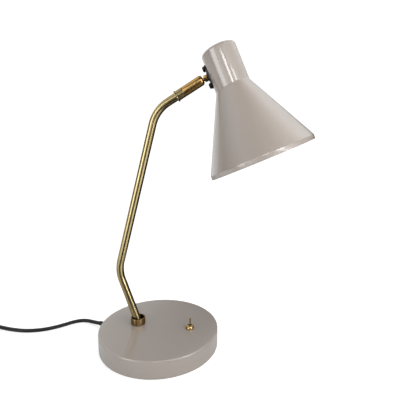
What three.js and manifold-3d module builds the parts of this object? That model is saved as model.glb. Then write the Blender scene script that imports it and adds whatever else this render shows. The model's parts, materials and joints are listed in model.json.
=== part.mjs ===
// Desk lamp: a weighted round base, a bent brass stem, a ball joint and a cone shade.
// Millimetres, +Z up. The origin is the centre of the base on the desk, and +X is the way the shade reaches.
import * as THREE from 'three';
import { mergeVertices } from 'three/addons/utils/BufferGeometryUtils.js';
import Module from 'manifold-3d';

const wasm = await Module();
wasm.setup();

// ---------------------------------------------------------------- driving dimensions
const GAP = 0.3; // clearance between pieces that touch on the real lamp
const WALL = 1.5; // sheet of the base shell
const BASE = { radius: 95, top: 28, bottom: 1.2, edge: 2.4 };
const FELT = { radius: 92, thickness: 2 };
const PLATE = { radius: 92.6, thickness: 1 };
const BALLAST = { radius: 90, bottom: 13.9, chamfer: 1.5, stemHole: 5.2 };
const POST = { foot: 3.6, stem: 2.4, ring: 70, angles: [60, 205, 300] };

const TUBE = { outer: 6, inner: 5 };
const FOOT = { x: -34.25, bore: 2.4, end: 9.2, thread: 4.4, plug: 4.6, plugLength: 16 };
const LOCK_NUT = { flats: 14, low: 9.6, high: 12.5 };
const LOCK_WASHER = { inner: 5, outer: 8.6, low: 12.8, high: 13.6 };
const WIRE = { stem: 1.6, switch: 1.5, head: 1.4, aboveFloor: 5.4 };
const LOWER_BEND = new THREE.Vector3(-66.6, 0, 115.8);
const UPPER_BEND = new THREE.Vector3(1.6, 0, 367.6);
const BEND_RADIUS = 52;
const ARM_ANGLE = 29.9; // degrees above level
const COLLAR = { x: -35.5, outer: 11.5, recess: 9.7, throat: 8.2, height: 10.6 };

// Stations along the arm, measured from the upper bend's corner.
const ARM = { flange: 36.6, seam: 49, tubeEnd: 58.2, seat: 66.5, ball: 76.1, tip: 82.1 };
const SLEEVE = { outer: 7.3, flange: 8.4, bore: 6.3, cavity: 6.1, socket: 5.8, lip: 4.6, mouth: 5.2 };
const BALL = { radius: 5.6, bore: 1.5, neck: 2.6, thread: 3 };
const SPRING = { radius: 5.1, wire: 0.5, turns: 3, clear: 1 };

// The head is built about the ball: X along the stud, Z along the shade's axis.
const HEAD_ANGLE = 23; // degrees of the stud above level
const HEX = { flats: 8.6, start: 7.4, end: 12.4 };
const BRACKET = { start: 13, thickness: 1.7, length: 34, width: 17, boss: 6.4 };
const SCREW = { offset: 12.3, head: 4, height: 2.8, shank: 1.9, length: 11.7, hole: 2.2, nut: 6.6 };
const STUD = { hole: 3.3, nut: 10, insideShade: 12 };
const NECK = { radius: 25, length: 55 };
const CROWN = { rise: 3, corner: 4 };
const CONE = { radius: 76, length: 104 };
const LIP = 6;
const SHEET = 1.2; // sheet of the shade
const STRAP = 1.2; // sheet of the bracket that holds the lampholder
const HOLDER = { shelf: -20, radius: 13.6, bore: 11.9, mouth: -64, nipple: 4.8, wireHole: 1.6 };
const BULB = { radius: 22.5, centre: -95 };
const CAP = { top: -38.8, length: 20.6, threads: 5, pitch: 3 };
const STUD_TO_RIM = 136.5;
const SHADE_X = BRACKET.start + BRACKET.thickness + 0.2 + NECK.radius;

const SWITCH = { x: 51.5, bushing: 3, hole: 3.3, nut: 6.3, dome: 4.8, rim: 1.2, pivot: 29.6, lean: 12 };
const TERMINALS = { x: -56.4, y: 6, z: 7.6, width: 5.6, depth: 22, height: 7 };

const CORD = { radius: 3.1, exitAngle: 169, exitHeight: 6.8, relief: 24, notch: 4.1, innerEnd: 62 };
const COIL = { x: -334, y: -58, outer: 45, pitch: 6.2, layer: 6.2, lift: 0.9, turnsPerLayer: 3.625 };
const PLUG = { x: -327.9, y: -117.6, z: 6.9, length: 34, halfWidth: 17.2, front: 14, tail: 16 };
const PIN = { radius: 2, length: 19, spacing: 18.6 };

// ---------------------------------------------------------------- materials
const enamel = { color: 0xa69c94, roughness: 0.28, metalness: 0.05 };
const brass = { color: 0xa98c4f, roughness: 0.32, metalness: 1 };
const steel = { color: 0x8d8f92, roughness: 0.45, metalness: 1 };
const iron = { color: 0x3c3a38, roughness: 0.8, metalness: 0.6 };
const blackened = { color: 0x15130f, roughness: 0.4, metalness: 0.6 };
const rubber = { color: 0x101010, roughness: 0.6, metalness: 0 };
const feltCloth = { color: 0x1b1a19, roughness: 1, metalness: 0 };
const blackPlastic = { color: 0x161616, roughness: 0.45, metalness: 0 };
const whitePlastic = { color: 0xe6e2d8, roughness: 0.5, metalness: 0 };
const opalGlass = { color: 0xf4f1ea, roughness: 0.25, metalness: 0 };

// ---------------------------------------------------------------- helpers
const Z_AXIS = new THREE.Vector3(0, 0, 1);
const radians = THREE.MathUtils.degToRad;
const point = (x, y, z) => new THREE.Vector3(x, y, z);

function toManifold(geometry) {
  const bare = geometry.clone();
  bare.deleteAttribute('normal');
  bare.deleteAttribute('uv');
  const merged = mergeVertices(bare, 1e-4);
  const vertProperties = new Float32Array(merged.attributes.position.array);
  const triVerts = new Uint32Array(merged.index.array);
  return new wasm.Manifold(new wasm.Mesh({ numProp: 3, vertProperties, triVerts }));
}

function fromManifold(solid) {
  const { vertProperties, triVerts } = solid.getMesh();
  const geometry = new THREE.BufferGeometry();
  geometry.setAttribute('position', new THREE.BufferAttribute(new Float32Array(vertProperties), 3));
  geometry.setIndex(new THREE.BufferAttribute(new Uint32Array(triVerts), 1));
  geometry.computeVertexNormals();
  return geometry;
}

function cut(body, ...tools) {
  const solid = tools.reduce((rest, tool) => rest.subtract(toManifold(tool)), toManifold(body));
  return fromManifold(solid);
}

function join(body, ...others) {
  const solid = others.reduce((whole, other) => whole.add(toManifold(other)), toManifold(body));
  return fromManifold(solid);
}

function common(first, second) {
  return fromManifold(toManifold(first).intersect(toManifold(second)));
}

// A turned piece about Z. The profile is a closed outline of [radius, height] pairs, or one that starts and
// ends on the axis; it is put the right way round first.
function turned(profile, segments) {
  let area = 0;
  profile.forEach(([r0, z0], i) => {
    const [r1, z1] = profile[(i + 1) % profile.length];
    area += r0 * z1 - r1 * z0;
  });
  const ordered = area > 0 ? profile : [...profile].reverse();
  const onAxis = ordered[0][0] === 0 && ordered[ordered.length - 1][0] === 0;
  const outline = onAxis ? ordered : [...ordered, ordered[0]];
  const points = outline.map(([r, z]) => new THREE.Vector2(r, z));
  return new THREE.LatheGeometry(points, segments).rotateX(Math.PI / 2);
}

// Points of a round stretch of a profile, from one angle to another about [r, z].
function arc(r, z, radius, from, to, steps) {
  return Array.from({ length: steps + 1 }, (_, i) => {
    const angle = radians(from + ((to - from) * i) / steps);
    return [r + radius * Math.cos(angle), z + radius * Math.sin(angle)];
  });
}

// A round bar between two heights on the Z axis.
function bar(radius, low, high, segments = 24) {
  const cylinder = new THREE.CylinderGeometry(radius, radius, high - low, segments);
  return cylinder.rotateX(Math.PI / 2).translate(0, 0, (low + high) / 2);
}

// Turns a shape made about Z so that its axis lies along X.
const alongX = (geometry) => geometry.rotateY(Math.PI / 2);

function block(width, depth, height, x, y, z) {
  return new THREE.BoxGeometry(width, depth, height).translate(x, y, z);
}

// A hexagonal piece about Z with a round hole.
function hexagon(flats, hole, low, high) {
  const corner = flats / Math.sqrt(3);
  const shape = new THREE.Shape();
  for (let i = 0; i < 6; i += 1) {
    const angle = radians(60 * i);
    shape[i ? 'lineTo' : 'moveTo'](corner * Math.cos(angle), corner * Math.sin(angle));
  }
  shape.closePath();
  shape.holes.push(new THREE.Path().absarc(0, 0, hole, 0, 2 * Math.PI));
  const options = { depth: high - low, bevelEnabled: false, curveSegments: 10 };
  return new THREE.ExtrudeGeometry(shape, options).translate(0, 0, low);
}

// A path whose stations are spaced as the shape needs: one step on a straight run, several round a bend.
class StationPath extends THREE.Curve {
  constructor(stations) {
    super();
    this.stations = stations;
  }

  getUtoTmapping(u) {
    return u;
  }

  getPoint(t, target = new THREE.Vector3()) {
    const along = THREE.MathUtils.clamp(t, 0, 1) * (this.stations.length - 1);
    const i = Math.min(Math.floor(along), this.stations.length - 2);
    return target.lerpVectors(this.stations[i], this.stations[i + 1], along - i);
  }

  getTangent(t, target = new THREE.Vector3()) {
    const last = this.stations.length - 1;
    const i = Math.round(t * last);
    const before = this.stations[Math.max(i - 1, 0)];
    const here = this.stations[i];
    const after = this.stations[Math.min(i + 1, last)];
    const arriving = here.clone().sub(before).normalize();
    const leaving = after.clone().sub(here).normalize();
    return target.addVectors(arriving, leaving).normalize();
  }
}

// Stations of a run of straight lines whose corners are rounded to a radius.
function roundedRun(corners, radius, steps) {
  const stations = [corners[0].clone()];
  for (let i = 1; i < corners.length - 1; i += 1) {
    const back = corners[i - 1].clone().sub(corners[i]).normalize();
    const on = corners[i + 1].clone().sub(corners[i]).normalize();
    const half = back.angleTo(on) / 2;
    const centre = back.clone().add(on).normalize().multiplyScalar(radius / Math.sin(half)).add(corners[i]);
    const start = back.clone().multiplyScalar(radius / Math.tan(half)).add(corners[i]).sub(centre);
    const axis = new THREE.Vector3().crossVectors(on, back).normalize();
    for (let k = 0; k <= steps; k += 1) {
      const turn = ((Math.PI - 2 * half) * k) / steps;
      stations.push(start.clone().applyAxisAngle(axis, turn).add(centre));
    }
  }
  stations.push(corners[corners.length - 1].clone());
  return stations;
}

function sweep(path, steps, radius, sides, bore = 0) {
  const shape = new THREE.Shape().absarc(0, 0, radius, 0, 2 * Math.PI);
  if (bore > 0) shape.holes.push(new THREE.Path().absarc(0, 0, bore, 0, 2 * Math.PI));
  return new THREE.ExtrudeGeometry(shape, { steps, extrudePath: path, curveSegments: sides / 2 });
}

const pipe = (stations, radius, sides, bore) =>
  sweep(new StationPath(stations), stations.length - 1, radius, sides, bore);

function add(group, name, geometry, look) {
  const mesh = new THREE.Mesh(geometry, new THREE.MeshStandardMaterial(look));
  mesh.name = name;
  group.add(mesh);
}

// ---------------------------------------------------------------- places worked out from the dimensions
const armDirection = point(Math.cos(radians(ARM_ANGLE)), 0, Math.sin(radians(ARM_ANGLE)));
const onArm = (distance) => armDirection.clone().multiplyScalar(distance).add(UPPER_BEND);
const ballCentre = onArm(ARM.ball);
const footPoint = point(FOOT.x, 0, BASE.top + GAP);
const lowerRun = LOWER_BEND.clone().sub(footPoint).normalize();
const exitDirection = point(Math.cos(radians(CORD.exitAngle)), Math.sin(radians(CORD.exitAngle)), 0);

const lamp = new THREE.Group();

// ---------------------------------------------------------------- base
function baseShell() {
  const { radius, top, bottom, edge } = BASE;
  const shell = turned(
    [
      [0, top],
      ...arc(radius - edge, top - edge, edge, 90, 0, 3),
      [radius, bottom],
      [radius - WALL, bottom],
      [radius - WALL, top - edge],
      [radius - edge, top - WALL],
      [0, top - WALL],
    ],
    48,
  );
  const stemHole = bar(FOOT.thread + 0.5, bottom, 2 * top).translate(FOOT.x, 0, 0);
  const switchHole = bar(SWITCH.hole, bottom, 2 * top).translate(SWITCH.x, 0, 0);
  // The cord's notch has a round top and is open at the bottom of the wall.
  const round = alongX(bar(CORD.notch, radius - 15, radius + 15)).translate(0, 0, CORD.exitHeight);
  const open = block(30, 2 * CORD.notch, 10, radius, 0, CORD.exitHeight - 5);
  return cut(shell, stemHole, switchHole, join(round, open).rotateZ(radians(CORD.exitAngle)));
}

function ballast() {
  const { radius, bottom, chamfer } = BALLAST;
  const top = BASE.top - WALL - GAP;
  const disc = turned(
    [
      [0, bottom],
      [radius - chamfer, bottom],
      [radius, bottom + chamfer],
      [radius, top - chamfer],
      [radius - chamfer, top],
      [0, top],
    ],
    40,
  );
  const stemHole = bar(BALLAST.stemHole, 0, 2 * top).translate(FOOT.x, 0, 0);
  const switchPocket = block(18, 24, 2 * top, SWITCH.x, 0, top);
  return cut(disc, stemHole, switchPocket);
}

function bottomPlate() {
  const low = FELT.thickness + GAP;
  const disc = bar(PLATE.radius, low, low + PLATE.thickness, 40);
  const cordNotch = block(14, 11, 10, 92, 0, 4).rotateZ(radians(CORD.exitAngle));
  return cut(disc, cordNotch);
}

// Three posts keep the bottom plate level under the weight.
function platePost(angle) {
  const low = FELT.thickness + GAP + PLATE.thickness + GAP;
  const high = BALLAST.bottom - GAP;
  const { foot, stem, ring } = POST;
  const profile = [[0, low], [foot, low], [foot, low + 1.6], [stem, low + 2.2], [stem, high], [0, high]];
  return turned(profile, 12).translate(ring, 0, 0).rotateZ(radians(angle));
}

function addBase() {
  add(lamp, 'base_shell', baseShell(), enamel);
  add(lamp, 'ballast_weight', ballast(), iron);
  add(lamp, 'felt_pad', bar(FELT.radius, 0, FELT.thickness, 40), feltCloth);
  add(lamp, 'bottom_plate', bottomPlate(), steel);
  POST.angles.forEach((angle, i) => add(lamp, `plate_post_${i + 1}`, platePost(angle), steel));
}

// ---------------------------------------------------------------- stem
function stemCollar() {
  const low = BASE.top + GAP;
  const { outer, recess, throat, height } = COLLAR;
  return turned(
    [
      [throat, low],
      [outer, low],
      ...arc(outer - 0.6, low + height - 0.6, 0.6, 0, 90, 2),
      [recess, low + height],
      [recess, low + 3],
      [throat, low + 2],
    ],
    24,
  ).translate(COLLAR.x, 0, 0);
}

function stemFoot() {
  const plug = bar(FOOT.plug, 0, FOOT.plugLength, 20);
  plug.applyQuaternion(new THREE.Quaternion().setFromUnitVectors(Z_AXIS, lowerRun));
  plug.translate(footPoint.x, 0, footPoint.z);
  const thread = bar(FOOT.thread, FOOT.end, footPoint.z + 1, 20).translate(FOOT.x, 0, 0);
  const bore = pipe(
    [point(FOOT.x, 0, 0), footPoint, footPoint.clone().addScaledVector(lowerRun, 40)],
    FOOT.bore,
    12,
  );
  return cut(join(plug, thread), bore);
}

function stemTube() {
  const start = footPoint.clone().addScaledVector(lowerRun, -8);
  const stations = roundedRun([start, LOWER_BEND, UPPER_BEND, onArm(ARM.tubeEnd)], BEND_RADIUS, 6);
  const belowBase = block(80, 80, 40, FOOT.x, 0, footPoint.z - 20);
  return cut(pipe(stations, TUBE.outer, 16, TUBE.inner), belowBase);
}

function stemWire() {
  const low = WIRE.aboveFloor;
  const fromTerminals = point(TERMINALS.x + TERMINALS.width / 2 + 0.6, 0, low);
  const stations = [
    ...roundedRun([fromTerminals, point(FOOT.x, 0, low), point(FOOT.x, 0, 20)], 6, 4),
    ...roundedRun([footPoint, LOWER_BEND, UPPER_BEND, onArm(ARM.seat - 1)], BEND_RADIUS, 4),
  ];
  return pipe(stations, WIRE.stem, 8);
}

function lockWasher() {
  const { inner, outer, low, high } = LOCK_WASHER;
  return turned([[inner, low], [outer, low], [outer, high], [inner, high]], 24).translate(FOOT.x, 0, 0);
}

function addStem() {
  const lockNut = hexagon(LOCK_NUT.flats, FOOT.thread + GAP, LOCK_NUT.low, LOCK_NUT.high);
  add(lamp, 'stem_collar', stemCollar(), brass);
  add(lamp, 'stem_foot', stemFoot(), steel);
  add(lamp, 'stem_lock_washer', lockWasher(), steel);
  add(lamp, 'stem_lock_nut', lockNut.translate(FOOT.x, 0, 0), steel);
  add(lamp, 'stem_tube', stemTube(), brass);
  add(lamp, 'stem_wire', stemWire(), whitePlastic);
}

// ---------------------------------------------------------------- switch
function switchBody(top) {
  const body = block(9, 14, 10, SWITCH.x, 0, top - 5);
  const bushing = bar(SWITCH.bushing, top - 1, BASE.top - 1, 16).translate(SWITCH.x, 0, 0);
  const tags = [-4.5, 0, 4.5].map((y) => block(1.6, 0.8, 5, SWITCH.x, y, top - 11));
  return join(body, bushing, ...tags);
}

// The nut over the bushing is a dome with a hole for the lever.
function domeNut() {
  const low = BASE.top + GAP;
  const { nut, dome, rim, bushing } = SWITCH;
  return turned(
    [
      [bushing + 0.4, low],
      [nut, low],
      ...arc(nut - dome, low + rim, dome, 0, 70, 5),
      [2.8, low + 5.2],
      [bushing + 0.4, low + 3.4],
    ],
    20,
  ).translate(SWITCH.x, 0, 0);
}

// A stick with a ball at its pivot and a smaller ball at its tip, made upright about its pivot.
function toggleLever() {
  const pivotBall = arc(0, 0, 1.9, -75, 55, 4);
  const tipBall = arc(0, 12.9, 1.5, 20, 70, 2);
  const profile = [[0, -1.9], ...pivotBall, [1.1, 2.2], [1.05, 9], [1.45, 12.4], ...tipBall, [0, 14.4]];
  return turned(profile, 12).rotateX(radians(-SWITCH.lean)).translate(SWITCH.x, 0, SWITCH.pivot);
}

function switchWire() {
  const run = [
    point(TERMINALS.x + 9.7, 10, 7.4),
    point(-20, 24, 6),
    point(30, 20, 6),
    point(SWITCH.x, 2, 6),
    point(SWITCH.x, 2, 11.6),
  ];
  return pipe(roundedRun(run, 4, 4), WIRE.switch, 8);
}

function addSwitch() {
  const top = BASE.top - WALL - GAP;
  add(lamp, 'switch_body', switchBody(top), blackPlastic);
  add(lamp, 'switch_dome_nut', domeNut(), brass);
  add(lamp, 'toggle_lever', toggleLever(), brass);
  add(lamp, 'switch_wire', switchWire(), whitePlastic);
}

// ---------------------------------------------------------------- mains entry, inside the base
function addMainsEntry() {
  const { x, y, z, width, depth, height } = TERMINALS;
  add(lamp, 'terminal_block', block(width, depth, height, x, y, z), whitePlastic);
  const reaches = [BASE.radius - WALL - 4.2, CORD.innerEnd];
  const run = reaches.map((reach) => exitDirection.clone().multiplyScalar(reach).setZ(CORD.exitHeight));
  add(lamp, 'cord_inner_end', pipe(run, CORD.radius - 0.1, 10), rubber);
}

// ---------------------------------------------------------------- sleeve and ball joint
function ferrule() {
  const { flange, seam } = ARM;
  const { outer, bore } = SLEEVE;
  return turned(
    [
      [bore, flange],
      [SLEEVE.flange - 0.3, flange],
      [SLEEVE.flange, flange + 0.3],
      [SLEEVE.flange, flange + 1.2],
      [SLEEVE.flange - 0.3, flange + 1.5],
      [outer, flange + 1.5],
      [outer, seam - GAP / 2 - 0.3],
      [outer - 0.3, seam - GAP / 2],
      [bore, seam - GAP / 2],
    ],
    24,
  );
}

function barrel() {
  const { seam, tubeEnd, ball, tip } = ARM;
  const { outer, bore, cavity, socket, lip, mouth } = SLEEVE;
  const nose = 4.5;
  const noseEnd = Math.acos((mouth - outer + nose) / nose);
  const lipAngle = THREE.MathUtils.radToDeg(Math.acos(lip / socket));
  return turned(
    [
      [bore, seam + GAP / 2],
      [outer - 0.3, seam + GAP / 2],
      [outer, seam + GAP / 2 + 0.3],
      ...arc(outer - nose, tip - nose, nose, 0, THREE.MathUtils.radToDeg(noseEnd), 4),
      ...arc(0, ball, socket, lipAngle, 0, 3),
      [cavity, ball - 0.6],
      [cavity, tubeEnd + GAP],
      [bore, tubeEnd + GAP],
    ],
    24,
  );
}

function ballSeat() {
  const { seat, ball } = ARM;
  const cup = BALL.radius + GAP;
  const from = THREE.MathUtils.radToDeg(Math.acos(5 / cup));
  const to = THREE.MathUtils.radToDeg(Math.acos(2 / cup));
  return turned(
    [
      [2, seat],
      [5.2, seat],
      [5.8, seat + 0.6],
      [5.8, ball - 3.6],
      ...arc(0, ball, cup, -from, -to, 3),
    ],
    16,
  );
}

// The seat spring's wire runs between the end of the tube and the seat.
class Helix extends THREE.Curve {
  getPoint(t, target = new THREE.Vector3()) {
    const { radius, turns, clear } = SPRING;
    const angle = t * turns * 2 * Math.PI;
    const height = THREE.MathUtils.lerp(ARM.tubeEnd + clear, ARM.seat - clear, t);
    return target.set(radius * Math.cos(angle), radius * Math.sin(angle), height);
  }
}

function ballStud() {
  const neckAngle = THREE.MathUtils.radToDeg(Math.acos(BALL.neck / BALL.radius));
  const boreAngle = THREE.MathUtils.radToDeg(Math.acos(BALL.bore / BALL.radius));
  const studEnd = SHADE_X - STUD.insideShade;
  const turnedPart = turned(
    [
      ...arc(0, 0, BALL.radius, -boreAngle, neckAngle, 8),
      [BALL.neck, HEX.start + 0.5],
      [BALL.thread, HEX.end - 0.5],
      [BALL.thread, studEnd],
      [BALL.bore, studEnd],
    ],
    16,
  );
  return alongX(join(turnedPart, hexagon(HEX.flats, BALL.neck - 0.6, HEX.start, HEX.end)));
}

function addSleeve() {
  const sleeve = new THREE.Group();
  sleeve.position.copy(UPPER_BEND);
  sleeve.quaternion.setFromUnitVectors(Z_AXIS, armDirection);
  lamp.add(sleeve);
  add(sleeve, 'sleeve_ferrule', ferrule(), brass);
  add(sleeve, 'socket_barrel', barrel(), brass);
  add(sleeve, 'seat_spring', sweep(new Helix(), 30, SPRING.wire, 6), steel);
  add(sleeve, 'ball_seat', ballSeat(), whitePlastic);
}

// ---------------------------------------------------------------- head
// Bars that cut the holes for the stud and for its two screws, one above it and one below it.
const screwHeights = [SCREW.offset, -SCREW.offset];
const studHole = () => alongX(bar(STUD.hole, 0, 30, 16));
const screwHoles = () => screwHeights.map((z) => alongX(bar(SCREW.hole, 0, 30, 12)).translate(0, 0, z));

// One spun sheet: a low crown, a straight neck, the cone and a straight lip round the mouth.
function shade() {
  const rim = -STUD_TO_RIM;
  const coneTop = rim + LIP + CONE.length;
  const crown = coneTop + NECK.length + CROWN.rise;
  const shoulder = crown - CROWN.rise - CROWN.corner + 0.4;
  const bend = NECK.radius - CROWN.corner;
  const slantedSheet = (SHEET * Math.hypot(CONE.radius - NECK.radius, CONE.length)) / CONE.length;
  const sheet = turned(
    [
      [0, crown],
      [NECK.radius / 2, crown - 0.8],
      [bend, crown - 2.6],
      ...arc(bend, shoulder, CROWN.corner, 60, 0, 2),
      [NECK.radius, coneTop],
      [CONE.radius, rim + LIP],
      [CONE.radius, rim],
      [CONE.radius - SHEET, rim],
      [CONE.radius - SHEET, rim + LIP - 0.3],
      [NECK.radius - SHEET, coneTop - (slantedSheet - SHEET)],
      ...arc(bend, shoulder, CROWN.corner - SHEET, 0, 60, 1),
      [0, crown - SHEET],
    ],
    40,
  ).translate(SHADE_X, 0, 0);
  return cut(sheet, studHole(), ...screwHoles());
}

// A strip of pipe wall about the shade's axis, trimmed to a plate with round ends.
function curvedPlate(inner, outer, width, length, sag) {
  const shape = new THREE.Shape();
  const half = Math.asin((width / 2 + 2) / outer);
  shape.absarc(0, 0, outer, Math.PI - half, Math.PI + half, false);
  shape.absarc(0, 0, inner, Math.PI + half, Math.PI - half, true);
  shape.closePath();
  const wall = new THREE.ExtrudeGeometry(shape, { depth: length + 4, bevelEnabled: false, curveSegments: 6 });
  wall.translate(SHADE_X, 0, -length / 2 - 2 + sag);
  const trim = new THREE.Shape();
  trim.absarc(length / 2 - width / 2, 0, width / 2, -Math.PI / 2, Math.PI / 2, false);
  trim.absarc(-length / 2 + width / 2, 0, width / 2, Math.PI / 2, (3 * Math.PI) / 2, false);
  trim.closePath();
  const prism = new THREE.ExtrudeGeometry(trim, { depth: SHADE_X, bevelEnabled: false, curveSegments: 8 });
  prism.rotateY(Math.PI / 2).translate(0, 0, sag);
  return common(wall, prism);
}

function pivotBracket() {
  const inner = NECK.radius + 0.2;
  const plate = curvedPlate(inner, inner + BRACKET.thickness, BRACKET.width, BRACKET.length, 0);
  const boss = alongX(bar(BRACKET.boss, BRACKET.start - GAP, BRACKET.start + 1, 24));
  return cut(join(plate, boss), studHole(), ...screwHoles());
}

// A pan head screw along X that starts outside the bracket and ends inside the neck.
function bracketScrew() {
  const { head, height, shank, length } = SCREW;
  const edge = 1.6;
  const seat = BRACKET.start - 0.2;
  const top = seat - height;
  const end = seat + length;
  const screw = turned(
    [
      [0, top],
      ...arc(head - edge, top + edge, edge, -90, 0, 3),
      [head, seat],
      [shank, seat],
      [shank, end],
      [0, end],
    ],
    16,
  );
  const crossSlots = [block(0.9, 4, 1.6, 0, 0, top), block(4, 0.9, 1.6, 0, 0, top)];
  return alongX(cut(screw, ...crossSlots));
}

// A hexagonal nut along X, from one distance to another.
const nutAlongX = (flats, hole, start, height) => alongX(hexagon(flats, hole, start, start + height));

function holderBracket() {
  const outer = NECK.radius - SHEET - GAP;
  const strap = curvedPlate(outer - STRAP, outer, 13, 44, -5);
  const wallSide = SHADE_X - outer + STRAP - 0.2;
  const shelfEnd = SHADE_X + 9;
  const shelf = block(shelfEnd - wallSide, 12.6, STRAP, (wallSide + shelfEnd) / 2, 0, HOLDER.shelf);
  const nippleHole = bar(HOLDER.nipple + 0.4, -30, 0, 20).translate(SHADE_X, 0, 0);
  return cut(join(strap, shelf), studHole(), ...screwHoles(), nippleHole);
}

function lampholder() {
  const top = HOLDER.shelf - STRAP / 2 - GAP;
  const { radius, bore, mouth, nipple, wireHole } = HOLDER;
  return turned(
    [
      [wireHole, top + 6],
      [nipple, top + 6],
      [nipple, top],
      [9, top - 0.4],
      [radius - 1, top - 5],
      [radius, top - 11],
      [radius, mouth],
      [bore, mouth],
      [bore, top - 17],
      [wireHole, top - 17],
    ],
    20,
  ).translate(SHADE_X, 0, 0);
}

// The screw cap of the bulb, with its rolled thread.
function bulbCap() {
  const { top, length, threads, pitch } = CAP;
  const contact = [[0, top], [3, top], [4.4, top - 2], [6.6, top - 3]];
  const thread = [];
  for (let turn = 0; turn < threads; turn += 1) {
    const z = top - 4 - turn * pitch;
    thread.push([6.7, z], [6.95, z - 0.3 * pitch], [6.7, z - 0.6 * pitch]);
  }
  const end = top - length;
  return turned([...contact, ...thread, [7, end], [0, end]], 16).translate(SHADE_X, 0, 0);
}

function bulbGlass() {
  const { radius, centre } = BULB;
  const top = CAP.top - CAP.length - GAP;
  const throat = [[8.4, top], [9.2, top - 5], [11.2, top - 11], [14.6, top - 17]];
  const globe = arc(0, centre, radius, 38, -78, 9);
  return turned([[0, top], ...throat, ...globe, [0, centre - radius]], 24).translate(SHADE_X, 0, 0);
}

function headWire() {
  const start = SHADE_X - STUD.insideShade + 0.4;
  const run = [point(start, 0, 0), point(SHADE_X, 0, 0), point(SHADE_X, 0, HOLDER.shelf + 6)];
  return pipe(roundedRun(run, 7, 5), WIRE.head, 8);
}

function addHead() {
  const head = new THREE.Group();
  head.position.copy(ballCentre);
  head.rotation.y = -radians(HEAD_ANGLE);
  lamp.add(head);
  // A flat nut inside the neck stands on the curved strap with its corners.
  const strapInner = NECK.radius - SHEET - GAP - STRAP;
  const nutSeat = (corner) => SHADE_X - Math.sqrt(strapInner ** 2 - corner ** 2) + GAP;
  const screwNutSeat = nutSeat(SCREW.nut / Math.sqrt(3));
  const studNutSeat = nutSeat(STUD.nut / Math.sqrt(3));
  add(head, 'ball_stud', ballStud(), brass);
  add(head, 'pivot_bracket', pivotBracket(), blackened);
  screwHeights.forEach((z, i) => {
    const which = i ? 'lower' : 'upper';
    const nut = nutAlongX(SCREW.nut, SCREW.shank + 0.15, screwNutSeat, 2.6);
    add(head, `bracket_screw_${which}`, bracketScrew().translate(0, 0, z), blackened);
    add(head, `screw_nut_${which}`, nut.translate(0, 0, z), steel);
  });
  add(head, 'stud_nut', nutAlongX(STUD.nut, BALL.thread + 0.15, studNutSeat, 4.4), steel);
  add(head, 'shade', shade(), enamel);
  add(head, 'holder_bracket', holderBracket(), steel);
  add(head, 'lampholder', lampholder(), whitePlastic);
  const ringNut = hexagon(12, HOLDER.nipple + 0.15, HOLDER.shelf + 0.9, HOLDER.shelf + 3.5);
  ringNut.translate(SHADE_X, 0, 0);
  add(head, 'holder_ring_nut', ringNut, steel);
  add(head, 'bulb_cap', bulbCap(), steel);
  add(head, 'bulb_glass', bulbGlass(), opalGlass);
  add(head, 'head_wire', headWire(), whitePlastic);
}

// ---------------------------------------------------------------- mains cord
const wallPoint = exitDirection.clone().multiplyScalar(BASE.radius).setZ(CORD.exitHeight);

// The lead lies on the desk: out of the strain relief, down, round one loose bend and away to the coil.
const LEAD = [
  [-117.4, 22.8, 6.8], [-122.6, 23.9, 6.5], [-129, 26.6, 5.3], [-137, 30, 4], [-145.5, 32.2, 3.3],
  [-154, 31.9, 3.1], [-162, 28.6, 3.1], [-170, 22.4, 3.1], [-178, 13.6, 3.1], [-187, 4.2, 3.1],
  [-199, -5.6, 3.1], [-215, -14, 3.1], [-236, -19.4, 3.1], [-260, -20, 3.1], [-284, -17.4, 3.2],
  [-303.6, -14, 3.6],
];
// The tail leaves the top of the coil, comes down beside it and ends in the plug.
const TAIL = [
  [-383.8, -78, 9], [-383.4, -89, 7.2], [-378.4, -101.4, 5.1], [-368, -112, 4.5], [-356, -117, 5.7],
  [-344.6, -117.6, 6.9],
];

function strainRelief() {
  const inner = -WALL - GAP;
  const profile = [
    [0, inner - 2.2],
    [4.5, inner - 2.2],
    [4.5, inner],
    [3.8, inner],
    [3.8, GAP],
    [5.6, GAP],
    [5.6, 2],
    [4.7, 3],
    [4.2, 12],
    [3.8, CORD.relief],
    [0, CORD.relief],
  ];
  const relief = alongX(turned(profile, 16)).rotateZ(radians(CORD.exitAngle));
  return relief.translate(wallPoint.x, wallPoint.y, wallPoint.z);
}

function cordRun(places, steps) {
  const curve = new THREE.CatmullRomCurve3(places.map(([x, y, z]) => point(x, y, z)), false, 'centripetal');
  return sweep(curve, steps, CORD.radius, 8);
}

// The wound cord's outer and inner radii.
const coilOuter = COIL.outer + CORD.radius;
const coilInner = COIL.outer - COIL.turnsPerLayer * COIL.pitch - CORD.radius;

function coilRing() {
  const outer = coilOuter + GAP;
  const inner = coilInner - GAP;
  const low = COIL.lift;
  const high = low + 2 * CORD.radius + COIL.layer;
  const soft = 2;
  return turned(
    [
      [inner, low + soft], [inner + soft, low], [outer - soft, low], [outer, low + soft],
      [outer, high - soft], [outer - soft, high], [inner + soft, high], [inner, high - soft],
    ],
    32,
  ).translate(COIL.x, COIL.y, 0);
}

function coilTie() {
  const outer = coilOuter + 2 * GAP;
  const inner = coilInner - 1.3;
  const high = COIL.lift + 2 * CORD.radius + COIL.layer + GAP;
  const band = 0.6;
  const solid = block(outer - inner + 2 * band, 9, high + band, 0, 0, 0);
  const opening = block(outer - inner, 20, high - band, 0, 0, 0);
  return cut(solid, opening).translate(COIL.x + (outer + inner) / 2, COIL.y, (high + band) / 2);
}

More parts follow.
